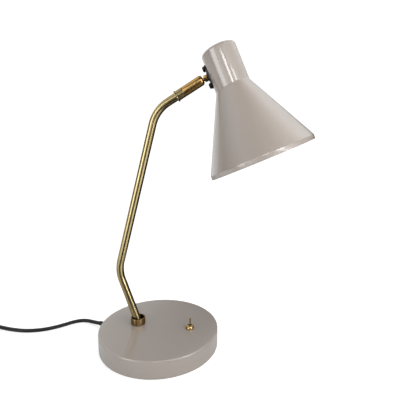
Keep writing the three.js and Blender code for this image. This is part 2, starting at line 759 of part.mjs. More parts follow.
function plugBody() {
  const { length, halfWidth, front, tail, x, y, z } = PLUG;
  const shape = new THREE.Shape();
  shape.absellipse(0, 0, z, halfWidth, 0, 2 * Math.PI);
  const face = new THREE.ExtrudeGeometry(shape, { depth: front, bevelEnabled: false, curveSegments: 10 });
  face.translate(0, 0, length - front);
  const inFace = length - front + 1;
  const rear = turned([[0, -tail], [3.8, -tail], [4.4, -2], [6.4, 8], [z - 0.1, inFace], [0, inFace]], 20);
  return alongX(join(face, rear)).translate(x, y, z);
}

function plugPin() {
  const start = PLUG.length + GAP;
  const end = start + PIN.length;
  const { radius } = PIN;
  return alongX(turned([[0, start], [radius, start], [radius, end - 1.6], [radius / 2, end], [0, end]], 12));
}

function addCord() {
  add(lamp, 'cord_strain_relief', strainRelief(), rubber);
  add(lamp, 'cord_lead', cordRun(LEAD, 26), rubber);
  add(lamp, 'cord_coil', coilRing(), rubber);
  add(lamp, 'cord_tail', cordRun(TAIL, 12), rubber);
  add(lamp, 'coil_tie', coilTie(), blackPlastic);
  add(lamp, 'plug_body', plugBody(), blackPlastic);
  [-1, 1].forEach((side) => {
    const which = side < 0 ? 'near' : 'far';
    const pin = plugPin().translate(PLUG.x, PLUG.y + (side * PIN.spacing) / 2, PLUG.z);
    add(lamp, `plug_pin_${which}`, pin, steel);
  });
}

addBase();
addStem();
addSwitch();
addMainsEntry();
addSleeve();
addHead();
addCord();

export default lamp;
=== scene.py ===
# Desk lamp: finished pieces, materials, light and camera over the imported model. Sizes and places are in
# millimetres, but for the camera, the lights and the materials, which are in metres. new_object turns a mesh
# into metres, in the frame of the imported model.
import json
import math
from types import SimpleNamespace as Sizes

import bmesh
import bpy
from mathutils import Matrix, Quaternion, Vector


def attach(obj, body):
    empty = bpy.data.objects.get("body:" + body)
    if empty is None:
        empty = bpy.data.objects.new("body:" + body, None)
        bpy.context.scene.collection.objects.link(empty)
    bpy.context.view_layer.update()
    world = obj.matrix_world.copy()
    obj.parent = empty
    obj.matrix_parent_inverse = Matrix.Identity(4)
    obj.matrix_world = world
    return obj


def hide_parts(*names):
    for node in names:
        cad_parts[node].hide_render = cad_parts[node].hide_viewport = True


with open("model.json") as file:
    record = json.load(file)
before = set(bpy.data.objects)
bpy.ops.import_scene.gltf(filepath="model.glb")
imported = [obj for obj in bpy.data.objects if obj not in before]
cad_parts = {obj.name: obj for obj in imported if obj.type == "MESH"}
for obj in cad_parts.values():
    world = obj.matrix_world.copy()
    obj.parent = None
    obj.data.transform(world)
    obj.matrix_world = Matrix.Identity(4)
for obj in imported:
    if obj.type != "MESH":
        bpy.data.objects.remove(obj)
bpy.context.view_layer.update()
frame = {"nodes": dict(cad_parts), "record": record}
nodes = frame["nodes"]
MM = 0.001

# ---------------------------------------------------------------- dimensions shared with the CAD
GAP = 0.3  # clearance between pieces that touch on the real lamp
BASE = Sizes(radius=95, top=28, bottom=1.2, wall=1.5, edge=2.4)
FELT = Sizes(radius=92, thickness=2)
TUBE = Sizes(outer=6, inner=5, bend=52)
COLLAR = Sizes(x=-35.5, outer=11.5, recess=9.7, throat=8.2, foot=BASE.top + GAP, height=10.6)
FOOT = Vector((-34.25, 0, BASE.top + GAP))
LOWER_BEND = Vector((-66.6, 0, 115.8))
UPPER_BEND = Vector((1.6, 0, 367.6))
ARM_ANGLE = math.radians(29.9)  # above level
ARM_AXIS = Vector((math.cos(ARM_ANGLE), 0, math.sin(ARM_ANGLE)))
ARM = Sizes(flange=36.6, seam=49, tube_end=58.2, ball=76.1, tip=82.1)  # along the arm from the upper bend
SLEEVE = Sizes(outer=7.3, flange=8.4, bore=6.3, cavity=6.1, socket=5.8, lip=4.6, mouth=5.2, nose=4.5)
BALL = Sizes(radius=5.6, bore=1.5, neck=2.6, thread=3)
HEAD_ANGLE = math.radians(23)  # of the stud above level

# Distances along the stud, from the ball's centre.
HEX = Sizes(flats=8.6, start=7.4, end=12.4)
BRACKET = Sizes(start=13, clear=0.2, thickness=1.7, length=34, width=17, boss=6.4)
SCREW = Sizes(offset=12.3, head=4, shank=1.9, tip=24.5)
STUD = Sizes(hole=3.3, end=27.9)

# Heights along the shade's axis, from the stud.
NECK = Sizes(radius=25, end=-26.5)
CONE = Sizes(radius=76, end=-130.5)
RIM = -136.5
SHEET = 1.2  # of the shade
HOLDER = Sizes(top=-20.9, radius=13.6, bore=11.9, mouth=-64, nipple=4.8, wire_hole=1.6)
BULB = Sizes(radius=22.5, centre=-95, top=-59.7)
SHADE_X = BRACKET.start + BRACKET.thickness + BRACKET.clear + NECK.radius  # from the ball to the shade's axis

SWITCH = Sizes(x=51.5, hole=3.4, nut=6.3, dome=4.8, pivot=29.6, lean=12)
CORD = Sizes(radius=3.1, exit_angle=math.radians(169), exit_height=6.8)
COIL = Sizes(centre=Vector((-334, -58, 0)), outer=45, pitch=6.2, lift=0.9, turns_per_layer=3.625)
PLUG = Sizes(at=Vector((-327.9, -117.6, 6.9)), front=34, half_width=17.2)
PIN = Sizes(radius=2, offset=9.3, sleeve_end=43.9, tip=53.1)

# ---------------------------------------------------------------- camera, in metres
CAMERA_EYE = Vector((0.16331, -0.48308, 0.30791))
CAMERA_AIM = Vector((-0.19154, 0.97060, -0.14574))
camera_data = bpy.data.cameras.new("camera")
camera_data.lens = 29.96
camera_data.sensor_width = 36
camera_data.clip_end = 50
camera = bpy.data.objects.new("camera", camera_data)
bpy.context.scene.collection.objects.link(camera)
camera.location = CAMERA_EYE
camera.rotation_euler = CAMERA_AIM.to_track_quat("-Z", "Y").to_euler()
bpy.context.scene.camera = camera


# ---------------------------------------------------------------- mesh helpers
def new_object(name, bm, matrix=None, sharp=38.0):
    """A mesh object from a bmesh in millimetres; edges over the sharp angle stay crisp."""
    mesh = bpy.data.meshes.new(name)
    bm.transform(Matrix.Scale(MM, 4) @ (matrix or Matrix.Identity(4)))
    bmesh.ops.recalc_face_normals(bm, faces=bm.faces)
    bm.to_mesh(mesh)
    bm.free()
    mesh.shade_smooth()
    mesh.set_sharp_from_angle(angle=math.radians(sharp))
    obj = bpy.data.objects.new(name, mesh)
    bpy.context.scene.collection.objects.link(obj)
    return obj


def rounded(corners, steps=5):
    """An outline with the corners that carry a third value rounded off by about that radius."""
    out = []
    count = len(corners)
    for i, corner in enumerate(corners):
        here = Vector(corner[:2])
        radius = corner[2] if len(corner) > 2 else 0
        if not radius:
            out.append(tuple(here))
            continue
        before = Vector(corners[(i - 1) % count][:2])
        after = Vector(corners[(i + 1) % count][:2])
        back = min(radius, (before - here).length * 0.49)
        on = min(radius, (after - here).length * 0.49)
        start = here + (before - here).normalized() * back
        end = here + (after - here).normalized() * on
        for k in range(steps + 1):
            t = k / steps
            out.append(tuple(start * (1 - t) ** 2 + here * 2 * t * (1 - t) + end * t * t))
    return out


def arc(r, z, radius, start, end, steps):
    """Profile points of a round stretch about (r, z), angles in degrees."""
    points = []
    for i in range(steps + 1):
        angle = math.radians(start + (end - start) * i / steps)
        points.append((r + radius * math.cos(angle), z + radius * math.sin(angle)))
    return points


def lathe(name, profile, segments=96, matrix=None, sharp=38.0, shape=None):
    """Turns a profile of (radius, height) about Z. shape(angle, radius, height) gives a new radius."""
    bm = bmesh.new()
    uv = bm.loops.layers.uv.new("grain")
    rings = []
    along = [0.0]
    for i, (r, z) in enumerate(profile):
        if i:
            along.append(along[-1] + math.dist((r, z), profile[i - 1]))
        if r < 1e-6:
            rings.append([bm.verts.new((0, 0, z))])
            continue
        ring = []
        for k in range(segments):
            angle = 2 * math.pi * k / segments
            out = shape(angle, r, z) if shape else r
            ring.append(bm.verts.new((out * math.cos(angle), out * math.sin(angle), z)))
        rings.append(ring)
    widest = max(r for r, _ in profile)
    pairs = list(zip(range(len(rings) - 1), range(1, len(rings))))
    if len(rings[0]) > 1 and len(rings[-1]) > 1:
        pairs.append((len(rings) - 1, 0))
    for a, b in pairs:
        low, high = rings[a], rings[b]
        v0 = along[a]
        v1 = along[b] if b else along[a] + math.dist(profile[a], profile[b])
        for k in range(segments):
            n = (k + 1) % segments
            u0, u1 = k / segments, (k + 1) / segments
            corners = [(low[k % len(low)], u0, v0)]
            if len(low) > 1:
                corners.append((low[n], u1, v0))
            corners.append((high[n % len(high)] if len(high) > 1 else high[0], u1, v1))
            if len(high) > 1:
                corners.append((high[k], u0, v1))
            if len(corners) < 3:
                continue
            face = bm.faces.new([c[0] for c in corners])
            for loop, (_, u, v) in zip(face.loops, corners):
                loop[uv].uv = (u * 2 * math.pi * widest * MM, v * MM)
    return new_object(name, bm, matrix, sharp)


def transported(points):
    """Tangent and a side vector for every point of a line, carried along without twisting."""
    tangents = []
    for i in range(len(points)):
        a = points[max(i - 1, 0)]
        b = points[min(i + 1, len(points) - 1)]
        tangents.append((b - a).normalized())
    first = tangents[0]
    side = first.orthogonal().normalized()
    if abs(first.z) < 0.9:
        side = first.cross(Vector((0, 0, 1))).normalized()
    sides = [side]
    for before, after in zip(tangents, tangents[1:]):
        turn = before.rotation_difference(after)
        side = turn @ side
        side = (side - after * side.dot(after)).normalized()
        sides.append(side)
    return tangents, sides


def tube(name, points, radius, sides=32, bore=0.0):
    """A round tube along points; bore makes it hollow."""
    bm = bmesh.new()
    uv = bm.loops.layers.uv.new("grain")
    tangents, normals = transported(points)
    along = [0.0]
    for a, b in zip(points, points[1:]):
        along.append(along[-1] + (b - a).length)

    def skin(skin_radius, flip):
        rings = []
        for p, tangent, normal in zip(points, tangents, normals):
            across = tangent.cross(normal)
            angles = [2 * math.pi * k / sides for k in range(sides)]
            places = [p + skin_radius * (math.cos(t) * normal + math.sin(t) * across) for t in angles]
            rings.append([bm.verts.new(place) for place in places])
        for i in range(len(points) - 1):
            for k in range(sides):
                n = (k + 1) % sides
                quad = [rings[i][k], rings[i][n], rings[i + 1][n], rings[i + 1][k]]
                steps = [(k, i), (k + 1, i), (k + 1, i + 1), (k, i + 1)]
                if flip:
                    quad.reverse()
                    steps.reverse()
                face = bm.faces.new(quad)
                for loop, (around, station) in zip(face.loops, steps):
                    loop[uv].uv = (around / sides * 2 * math.pi * radius * MM, along[station] * MM)
        return rings

    outer = skin(radius, False)
    inner = skin(bore, True) if bore else None
    for end in (0, -1):
        centre = None if bore else bm.verts.new(points[end])
        for k in range(sides):
            n = (k + 1) % sides
            rest = [inner[end][n], inner[end][k]] if bore else [centre]
            bm.faces.new([outer[end][k], outer[end][n], *rest])
    return new_object(name, bm)


STEP = 8  # points of a smooth line for each of its places


def smooth_line(places, per_step=STEP):
    """A centripetal Catmull-Rom line through the places."""
    ends = [2 * places[0] - places[1], *places, 2 * places[-1] - places[-2]]
    line = []
    for a, b, c, d in zip(ends, ends[1:], ends[2:], ends[3:]):
        t1 = math.sqrt((b - a).length)
        t2 = t1 + math.sqrt((c - b).length)
        t3 = t2 + math.sqrt((d - c).length)
        for k in range(per_step):
            t = t1 + (t2 - t1) * k / per_step
            a1 = a * ((t1 - t) / t1) + b * (t / t1)
            a2 = b * ((t2 - t) / (t2 - t1)) + c * ((t - t1) / (t2 - t1))
            a3 = c * ((t3 - t) / (t3 - t2)) + d * ((t - t2) / (t3 - t2))
            b1 = a1 * ((t2 - t) / t2) + a2 * (t / t2)
            b2 = a2 * ((t3 - t) / (t3 - t1)) + a3 * ((t - t1) / (t3 - t1))
            line.append(b1 * ((t2 - t) / (t2 - t1)) + b2 * ((t - t1) / (t2 - t1)))
    line.append(places[-1].copy())
    return line


def rounded_run(corners, radius, steps, spacing=12.0):
    """Straight lines whose corners are rounded, with a station every so many millimetres."""
    stops = [corners[0]]
    for before, corner, after in zip(corners, corners[1:], corners[2:]):
        back = (before - corner).normalized()
        on = (after - corner).normalized()
        half = back.angle(on) / 2
        centre = corner + (back + on).normalized() * (radius / math.sin(half))
        start = corner + back * (radius / math.tan(half)) - centre
        axis = on.cross(back).normalized()
        for k in range(steps + 1):
            turn = Quaternion(axis, (math.pi - 2 * half) * k / steps)
            stops.append(turn @ start + centre)
    stops.append(corners[-1])
    line = [stops[0]]
    for a, b in zip(stops, stops[1:]):
        count = max(1, round((b - a).length / spacing))
        line.extend(a.lerp(b, k / count) for k in range(1, count + 1))
    return line


# ---------------------------------------------------------------- mains cord
LEAD = [
    (-117.4, 22.8, 6.8), (-122.6, 23.9, 6.5), (-129, 26.6, 5.3), (-137, 30, 4), (-145.5, 32.2, 3.3),
    (-154, 31.9, 3.1), (-162, 28.6, 3.1), (-170, 22.4, 3.1), (-178, 13.6, 3.1), (-187, 4.2, 3.1),
    (-199, -5.6, 3.1), (-215, -14, 3.1), (-236, -19.4, 3.1), (-260, -20, 3.1), (-284, -17.4, 3.2),
    (-303.6, -14, 3.6),
]
TAIL = [
    (-383.8, -78, 9), (-383.4, -89, 7.2), (-378.4, -101.4, 5.1), (-368, -112, 4.5), (-356, -117, 5.7),
    (-344.6, -117.6, 6.9),
]
CLIMB = Sizes(before=45, length=95)  # degrees of turn over which the cord climbs to the upper layer


def coil_turns(steps=40):
    """A flat two-layer coil: inwards along the bottom, up over itself and outwards along the top."""
    places = []
    count = int(2 * COIL.turns_per_layer * steps)
    for i in range(count + 1):
        turn = i / steps
        past_middle = turn - COIL.turns_per_layer
        radius = COIL.outer - COIL.pitch * (COIL.turns_per_layer - abs(past_middle))
        angle = math.radians(90 + 360 * turn)
        rise = min(1.0, max(0.0, (past_middle * 360 + CLIMB.before) / CLIMB.length))
        rise = rise * rise * (3 - 2 * rise)
        height = COIL.lift + CORD.radius + 2 * CORD.radius * rise
        places.append(COIL.centre + Vector((radius * math.cos(angle), radius * math.sin(angle), height)))
    return places


turns = coil_turns()
lead = smooth_line([Vector(p) for p in LEAD] + turns[:2])
tail = smooth_line([turns[-2], turns[-1]] + [Vector(p) for p in TAIL])
cord_line = lead[:-STEP] + turns[1:-1] + tail[STEP:]
mains_cord = tube("mains_cord", cord_line, CORD.radius, sides=20)


# ---------------------------------------------------------------- materials
class Look:
    """A procedural material on one Principled shader. Its noise scales are per metre, its bumps in metres."""

    def __init__(self, name, **fixed):
        self.material = bpy.data.materials.new(name)
        self.material.use_nodes = True
        self.tree = self.material.node_tree
        self.shader = self.tree.nodes["Principled BSDF"]
        for socket, value in fixed.items():
            self.shader.inputs[socket.replace("_", " ")].default_value = value

    def add(self, kind, **inputs):
        made = self.tree.nodes.new("ShaderNode" + kind)
        for socket, value in inputs.items():
            made.inputs[socket.replace("_", " ")].default_value = value
        return made

    def link(self, a, b):
        self.tree.links.new(a, b)

    def coords(self, scale, source="Object"):
        if source == "grain":
            start = self.add("UVMap")
            start.uv_map = "grain"
            output = start.outputs["UV"]
        else:
            output = self.add("TexCoord").outputs[source]
        mapping = self.add("Mapping", Scale=scale)
        self.link(output, mapping.inputs["Vector"])
        return mapping.outputs["Vector"]

    def noise(self, scale, detail=3.0, roughness=0.5, stretch=(1, 1, 1), source="Object"):
        made = self.add("TexNoise", Scale=scale, Detail=detail, Roughness=roughness)
        self.link(self.coords(stretch, source), made.inputs["Vector"])
        return made.outputs["Fac"]

    def spread(self, value, low, high, start=0.3, end=0.7):
        made = self.add("MapRange", From_Min=start, From_Max=end, To_Min=low, To_Max=high)
        self.link(value, made.inputs["Value"])
        return made.outputs["Result"]

    def blend(self, value, first, second):
        made = self.add("ValToRGB")
        made.color_ramp.elements[0].position, made.color_ramp.elements[1].position = 0.3, 0.7
        made.color_ramp.elements[0].color = (*first, 1)
        made.color_ramp.elements[1].color = (*second, 1)
        self.link(value, made.inputs["Fac"])
        return made.outputs["Color"]

    def multiply(self, first, second):
        made = self.tree.nodes.new("ShaderNodeMix")
        made.data_type = "RGBA"
        made.blend_type = "MULTIPLY"
        made.inputs["Factor"].default_value = 1
        first_color, second_color = (socket for socket in made.inputs if socket.type == "RGBA")
        self.link(first, first_color)
        self.link(second, second_color)
        return next(socket for socket in made.outputs if socket.type == "RGBA")

    def bump(self, height, strength, distance):
        made = self.add("Bump", Strength=strength, Distance=distance)
        self.link(height, made.inputs["Height"])
        return made.outputs["Normal"]

    def finish(self, color, roughness, normal=None):
        self.link(color, self.shader.inputs["Base Color"])
        self.link(roughness, self.shader.inputs["Roughness"])
        if normal is not None:
            self.link(normal, self.shader.inputs["Normal"])
        return self.material


WHITE = (1, 1, 1)
AROUND = (0.02, 1, 1)  # stretches a grain round the piece, as a lathe leaves it
ALONG = (1, 0.012, 1)  # stretches a grain along the piece, as brushing leaves it


def scaled(tone, factor):
    return tuple(c * factor for c in tone)


def enamel_look(name, tone, gloss=(0.29, 0.36)):
    look = Look(name, Coat_Weight=0.9, Coat_Roughness=0.08, IOR=1.5)
    clouded = look.blend(look.noise(9, 4), scaled(tone, 0.975), tone)
    grain = look.blend(look.noise(900, 2), scaled(WHITE, 0.985), WHITE)
    color = look.multiply(clouded, grain)
    rough = look.spread(look.noise(20, 3), *gloss, 0.1, 0.9)
    peel = look.bump(look.noise(260, 1, 0.3), 0.004, 0.0001)
    return look.finish(color, rough, peel)


def brass_look(name, tone, patina, rough=(0.28, 0.31), grain=AROUND):
    look = Look(name, Metallic=1.0, Specular_Tint=(0.45, 0.42, 0.28, 1))
    brushing = look.noise(2600, 3, 0.6, grain, "grain")
    stained = look.blend(look.noise(28, 5, 0.6), patina, tone)
    color = look.multiply(stained, look.blend(brushing, (0.97, 0.96, 0.94), WHITE))
    return look.finish(color, look.spread(brushing, *rough), look.bump(brushing, 0.002, 0.00002))


def metal_look(name, tone, shade, rough, scale=300, bump=0.1, metallic=1.0):
    look = Look(name, Metallic=metallic)
    fine = look.noise(scale, 4, 0.6)
    color = look.blend(look.noise(40, 4), shade, tone)
    return look.finish(color, look.spread(fine, *rough), look.bump(fine, bump, 0.0001))


def plastic_look(name, tone, rough, scale=1500, bump=0.15, **fixed):
    look = Look(name, **fixed)
    fine = look.noise(scale, 2)
    color = look.blend(look.noise(30, 4), scaled(tone, 0.85), tone)
    return look.finish(color, look.spread(fine, *rough), look.bump(fine, bump, 0.00008))


LOOKS = {
    "enamel": enamel_look("enamel", (0.268, 0.234, 0.208)),
    "brass": brass_look("brass_brushed", (0.425, 0.345, 0.18), (0.33, 0.265, 0.13), grain=ALONG),
    "brass_warm": brass_look("brass_warm", (0.58, 0.37, 0.14), (0.42, 0.25, 0.08), grain=ALONG),
    "brass_turned": brass_look("brass_turned", (0.50, 0.38, 0.17), (0.36, 0.25, 0.10), (0.28, 0.32)),
    # Near-black brass: painted shade for the collar's recess, where the hollow lies in shadow.
    "brass_dark": brass_look("brass_painted_recess_shade", (0.10, 0.07, 0.035), (0.05, 0.035, 0.018), (0.35, 0.5)),
    "brass_aged": brass_look("brass_aged", (0.30, 0.21, 0.10), (0.17, 0.10, 0.045), (0.28, 0.33)),
    "steel": metal_look("zinc_steel", (0.56, 0.57, 0.58), (0.42, 0.43, 0.45), (0.3, 0.5)),
    "pin_metal": metal_look("nickel", (0.72, 0.71, 0.69), (0.6, 0.59, 0.57), (0.28, 0.34), 800, 0.05),
    "iron": metal_look("cast_iron", (0.07, 0.066, 0.062), (0.035, 0.033, 0.031), (0.6, 0.9), 500, 0.8, 0.7),
    "blackened": metal_look(
        "black_oxide", (0.012, 0.011, 0.010), (0.006, 0.005, 0.005), (0.3, 0.5), 700, 0.2, 0.5
    ),
    "rubber": plastic_look(
        "cord_sheath", (0.009, 0.009, 0.009), (0.42, 0.58), 1800, 0.25, Specular_IOR_Level=0.3
    ),
    "black_plastic": plastic_look("black_plastic", (0.018, 0.018, 0.019), (0.35, 0.5)),
    "white_plastic": plastic_look("white_plastic", (0.78, 0.76, 0.71), (0.3, 0.42), 900, 0.06),
    "felt": plastic_look("pressed_felt", (0.02, 0.02, 0.021), (0.9, 1.0), 2600, 1.0, Sheen_Weight=0.5),
    "opal_glass": plastic_look(
        "opal_glass", (0.9, 0.89, 0.86), (0.28, 0.32), 60, 0.01, Coat_Weight=0.6, Subsurface_Weight=0.25
    ),
}


def piece(obj, body, look, *replaced, slot=None):
    """Gives a finished piece its look, its body and the CAD nodes that it stands for; slot is not used."""
    obj.data.materials.clear()
    obj.data.materials.append(LOOKS[look])
    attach(obj, body)
    if replaced:
        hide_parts(*replaced)
    return obj


def second_look(obj, look, chosen):
    """Gives another look to the faces whose middle, in millimetres, is chosen."""
    obj.data.materials.append(LOOKS[look])
    for face in obj.data.polygons:
        if chosen(face.center / MM):
            face.material_index = 1


def cut_away(obj, cutter):
    """Takes the cutter out of the piece and removes the cutter."""
    boolean = obj.modifiers.new("cut", "BOOLEAN")
    boolean.operation = "DIFFERENCE"
    boolean.solver = "EXACT"
    boolean.use_self = True
    boolean.object = cutter
    view = bpy.context.evaluated_depsgraph_get()
    view.update()
    mesh = bpy.data.meshes.new_from_object(obj.evaluated_get(view))
    obj.modifiers.clear()
    obj.data = mesh
    bpy.data.objects.remove(cutter)
    mesh.set_sharp_from_angle(angle=math.radians(35))


def round_hole(obj, radius, low, high, matrix):
    """Bores a hole along the matrix's Z axis, between two heights."""
    cut_away(obj, lathe("cutter", [(0, low), (radius, low), (radius, high), (0, high)], 48, matrix))


def soften(obj, width):
    """Rounds the sharp edges of a piece."""
    bevel = obj.modifiers.new("soft edges", "BEVEL")
    bevel.width = width * MM
    bevel.segments = 2
    bevel.limit_method = "ANGLE"
    bevel.angle_limit = math.radians(50)


# ---------------------------------------------------------------- base
switch_foot = Matrix.Translation((SWITCH.x, 0, 0))
inside, ceiling = BASE.radius - BASE.wall, BASE.top - BASE.wall
base_profile = rounded([
    (0, BASE.top), (40, BASE.top), (80, BASE.top), (BASE.radius, BASE.top, BASE.edge),
    (BASE.radius, BASE.bottom, 0.4), (inside, BASE.bottom, 0.3), (inside, ceiling, 1.5), (0, ceiling),
], 8)
base = lathe("base_cover", base_profile, 256)
round_hole(base, SWITCH.hole, ceiling - 1.5, BASE.top + 1, switch_foot)
piece(base, "stand", "enamel", "base_shell")

pad_profile = rounded([
    (0, 0), (FELT.radius, 0, 0.7), (FELT.radius, FELT.thickness, 0.7), (0, FELT.thickness),
], 4)
pad = lathe("pad", pad_profile, 160)
piece(pad, "stand", "felt", "felt_pad")

collar_top = COLLAR.foot + COLLAR.height
collar_profile = rounded([
    (COLLAR.throat, COLLAR.foot), (COLLAR.outer, COLLAR.foot, 0.3), (COLLAR.outer, collar_top, 0.8),
    (COLLAR.recess, collar_top, 0.4), (COLLAR.recess, COLLAR.foot + 3, 0.4), (COLLAR.throat, COLLAR.foot + 2),
])
collar_centre = Vector((COLLAR.x, 0, 0))
collar = lathe("stem_ring", collar_profile, 96, Matrix.Translation(collar_centre))
piece(collar, "stand", "brass_aged", "stem_collar", slot="brass")
# The faces inside the collar's recess get the near-black brass: painted shade in the hollow.
second_look(collar, "brass_dark", lambda middle: (middle - collar_centre).xy.length < COLLAR.recess + 0.05)

# ---------------------------------------------------------------- stem
lower_run = (LOWER_BEND - FOOT).normalized()
tube_start = FOOT + 2.3 * lower_run
tube_end = UPPER_BEND + ARM.tube_end * ARM_AXIS
stem_line = rounded_run([tube_start, LOWER_BEND, UPPER_BEND, tube_end], TUBE.bend, 16)
stem = tube("stem", stem_line, TUBE.outer, sides=48, bore=TUBE.inner)
piece(stem, "stand", "brass", "stem_tube")

# ---------------------------------------------------------------- sleeve and ball joint
along_arm = Vector((0, 0, 1)).rotation_difference(ARM_AXIS).to_matrix().to_4x4()
arm_frame = Matrix.Translation(UPPER_BEND) @ along_arm
flange_end = ARM.flange + 1.5
ferrule_end = ARM.seam - GAP / 2
ferrule_profile = rounded([
    (SLEEVE.bore, ARM.flange), (SLEEVE.flange, ARM.flange, 0.4), (SLEEVE.flange, flange_end, 0.4),
    (SLEEVE.outer, flange_end, 0.2), (SLEEVE.outer, ferrule_end, 0.35), (SLEEVE.bore, ferrule_end),
])
ferrule = lathe("sleeve_band", ferrule_profile, 72, arm_frame)
piece(ferrule, "stand", "brass", "sleeve_ferrule")

nose_end = math.degrees(math.acos((SLEEVE.mouth - SLEEVE.outer + SLEEVE.nose) / SLEEVE.nose))
lip_angle = math.degrees(math.acos(SLEEVE.lip / SLEEVE.socket))
barrel_start = ARM.seam + GAP / 2
barrel_profile = rounded([
    (SLEEVE.bore, barrel_start), (SLEEVE.outer, barrel_start, 0.35), (SLEEVE.outer, 60),
])
barrel_profile += arc(SLEEVE.outer - SLEEVE.nose, ARM.tip - SLEEVE.nose, SLEEVE.nose, 0, nose_end, 10)
barrel_profile += arc(0, ARM.ball, SLEEVE.socket, lip_angle, 0, 6)
barrel_profile += [(SLEEVE.cavity, ARM.ball - 0.6), (SLEEVE.cavity, ARM.tube_end + GAP)]
barrel_profile += [(SLEEVE.bore, ARM.tube_end + GAP)]
barrel = lathe("sleeve", barrel_profile, 72, arm_frame)
piece(barrel, "stand", "brass_warm", "socket_barrel", slot="brass")

along_x = Matrix.Rotation(math.pi / 2, 4, "Y")
ball_centre = UPPER_BEND + ARM.ball * ARM_AXIS
head_frame = Matrix.Translation(ball_centre) @ Matrix.Rotation(-HEAD_ANGLE, 4, "Y")
stud_frame = head_frame @ along_x
shade_frame = head_frame @ Matrix.Translation((SHADE_X, 0, 0))


def hexagonal(flats):
    """A shape for lathe: no point stands further out than the six flats."""
    def shape(angle, radius, height):
        from_flat = (angle + math.pi / 6) % (math.pi / 3) - math.pi / 6
        return min(radius, flats / 2 / math.cos(from_flat))
    return shape


neck_angle = math.degrees(math.acos(BALL.neck / BALL.radius))
bore_angle = math.degrees(math.acos(BALL.bore / BALL.radius))
stud_profile = arc(0, 0, BALL.radius, -bore_angle, neck_angle, 20)
stud_profile += rounded([
    (BALL.neck, HEX.start + 0.5), (BALL.thread, HEX.end - 0.5), (BALL.thread, STUD.end, 0.4),
    (BALL.bore, STUD.end, 0.3),
], 3)
stud = lathe("ball_and_stud", stud_profile, 48, stud_frame)
piece(stud, "joint_ball", "brass_turned", "ball_stud", slot="brass")

corner, chamfer = HEX.flats / math.sqrt(3), 4.1
hexagon_profile = rounded([
    (2.4, HEX.start), (chamfer, HEX.start, 0.1), (corner, HEX.start + 0.5), (corner, HEX.end - 0.5),
    (chamfer, HEX.end, 0.1), (2.4, HEX.end),
], 2)
hexagon = lathe("stud_hexagon", hexagon_profile, 72, stud_frame, 25, hexagonal(HEX.flats))
piece(hexagon, "joint_ball", "brass_warm", slot="brass")


# ---------------------------------------------------------------- bracket and screws
def curved_plate(name, inner, outer, width, length, matrix, rows=40, columns=12):
    """A plate with round ends, bent about the shade's axis on its stud side."""
    bm = bmesh.new()
    grid = {}
    for side, radius in enumerate((inner, outer)):
        for i in range(rows + 1):
            z = -math.cos(math.pi * i / rows) * length / 2
            past = max(0, abs(z) - (length - width) / 2)
            half = max(0.35, math.sqrt(max(0, (width / 2) ** 2 - past * past)))
            for j in range(columns + 1):
                y = half * (2 * j / columns - 1)
                x = SHADE_X - math.sqrt(radius * radius - y * y)
                grid[side, i, j] = bm.verts.new((x, y, z))
    for side in (0, 1):
        for i in range(rows):
            for j in range(columns):
                square = ((i, j), (i + 1, j), (i + 1, j + 1), (i, j + 1))
                bm.faces.new([grid[side, m, n] for m, n in square])
    edge = [(i, 0) for i in range(rows)] + [(rows, j) for j in range(columns)]
    edge += [(i, columns) for i in range(rows, 0, -1)] + [(0, j) for j in range(columns, 0, -1)]
    for (i, j), (m, n) in zip(edge, edge[1:] + edge[:1]):
        bm.faces.new([grid[0, i, j], grid[0, m, n], grid[1, m, n], grid[1, i, j]])
    obj = new_object(name, bm, matrix, 50)
    soften(obj, 0.3)
    return obj


hole_reach = (BRACKET.start - 1, BRACKET.start + 4)
plate_inner = NECK.radius + BRACKET.clear
plate_outer = plate_inner + BRACKET.thickness
bracket = curved_plate("pivot_plate", plate_inner, plate_outer, BRACKET.width, BRACKET.length, head_frame)
round_hole(bracket, STUD.hole, *hole_reach, stud_frame)
piece(bracket, "head", "blackened", "pivot_bracket")

boss_low, boss_high = BRACKET.start - 0.3, BRACKET.start + 2
boss_profile = rounded([
    (STUD.hole, boss_low), (BRACKET.boss, boss_low, 0.4), (BRACKET.boss, boss_high, 0.1),
    (STUD.hole, boss_high),
])
boss = lathe("pivot_boss", boss_profile, 48, stud_frame)
piece(boss, "head", "blackened")


def cross_cutter(low, high, half_length=2.0, half_width=0.5, taper=0.55):
    """A cross-shaped prism about Z whose arms narrow towards the bottom."""
    bm = bmesh.new()
    for turn in (0, math.pi / 2):
        ring = []
        for z, scale in ((low, taper), (high, 1.0)):
            for x, y in ((-1, -1), (1, -1), (1, 1), (-1, 1)):
                p = Vector((x * half_length * scale, y * half_width * scale, z))
                p.rotate(Quaternion((0, 0, 1), turn))
                ring.append(bm.verts.new(p))
        bm.faces.new(ring[:4][::-1])
        bm.faces.new(ring[4:])
        for k in range(4):
            n = (k + 1) % 4
            bm.faces.new([ring[k], ring[n], ring[4 + n], ring[4 + k]])
    return bm


screw_top, screw_seat, dome = 10, 12.8, 1.7
screw_profile = [(0, screw_top)] + arc(SCREW.head - dome, 11.6, dome, -90, 0, 6)
screw_profile += rounded([
    (SCREW.head, screw_seat, 0.1), (SCREW.shank, screw_seat), (SCREW.shank, SCREW.tip, 0.3), (0, SCREW.tip),
], 2)
for which, offset in (("upper", SCREW.offset), ("lower", -SCREW.offset)):
    screw_frame = head_frame @ Matrix.Translation((0, 0, offset)) @ along_x
    screw = lathe(f"pan_screw_{which}", screw_profile, 40, screw_frame)
    recess_frame = screw_frame @ Matrix.Rotation(math.radians(20), 4, "Z")
    cut_away(screw, new_object("cutter", cross_cutter(screw_top - 0.5, screw_top + 1.4), recess_frame))
    piece(screw, "head", "blackened", f"bracket_screw_{which}")

